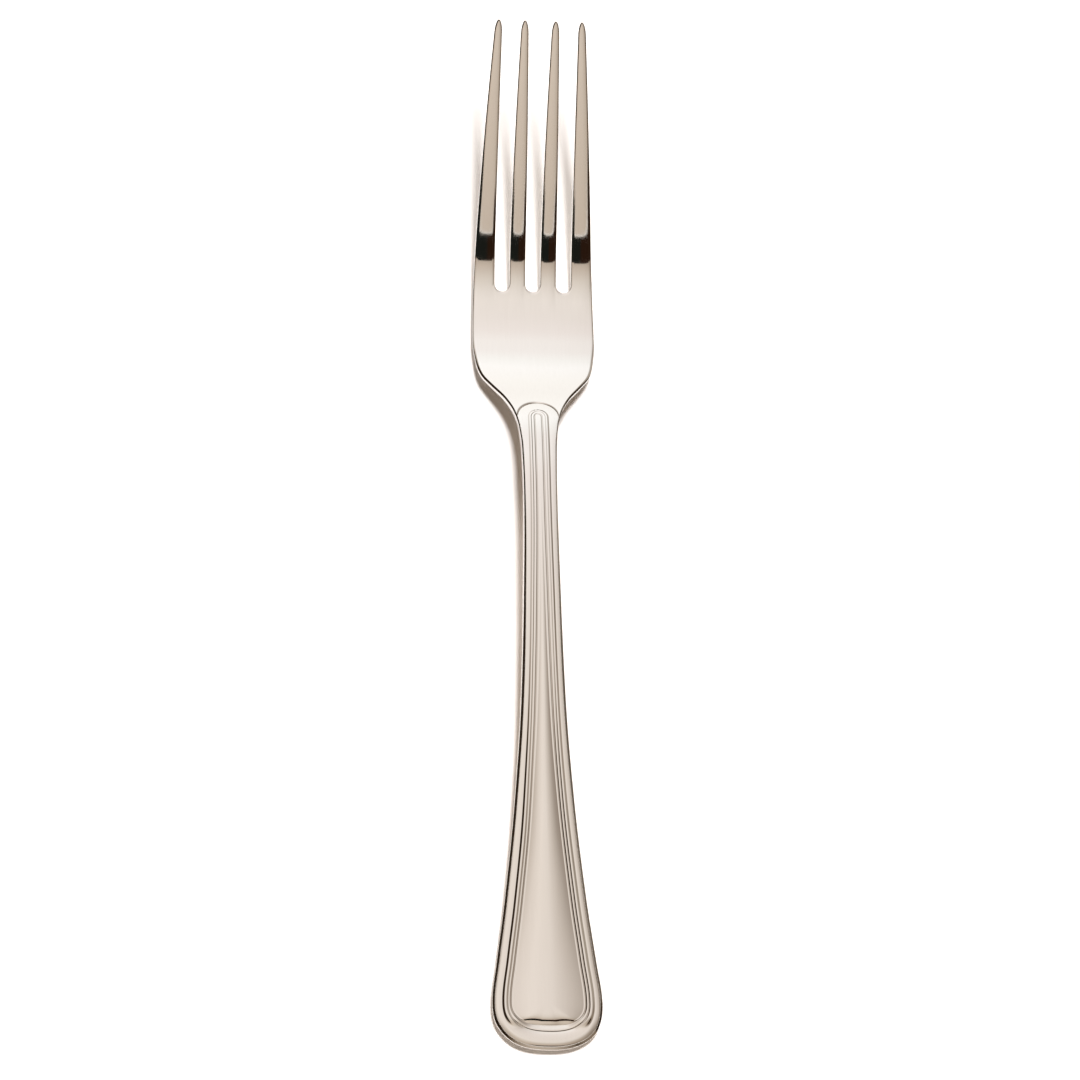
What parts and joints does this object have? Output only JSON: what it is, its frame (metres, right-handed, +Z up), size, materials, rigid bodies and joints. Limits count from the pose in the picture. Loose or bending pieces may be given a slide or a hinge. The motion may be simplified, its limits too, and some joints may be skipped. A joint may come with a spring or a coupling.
{
  "type": "dinner fork",
  "caption": "Steel dinner fork with tapered tines, a slim neck and a handle that widens to a round end with a threaded border.",
  "frame": {"origin": "middle of the fork's footprint on the table, at the height of the table", "axes": "+Y from the handle end to the tine tips, +Z up out of the hollow side of the tines, +X to the right when the tines point away"},
  "size_m": [0.024, 0.205, 0.0239],
  "materials": {
    "steel": "polished, with fine wear marks"
  },
  "bodies": {
    "root": {"fork": "steel"}
  },
  "joints": []
}
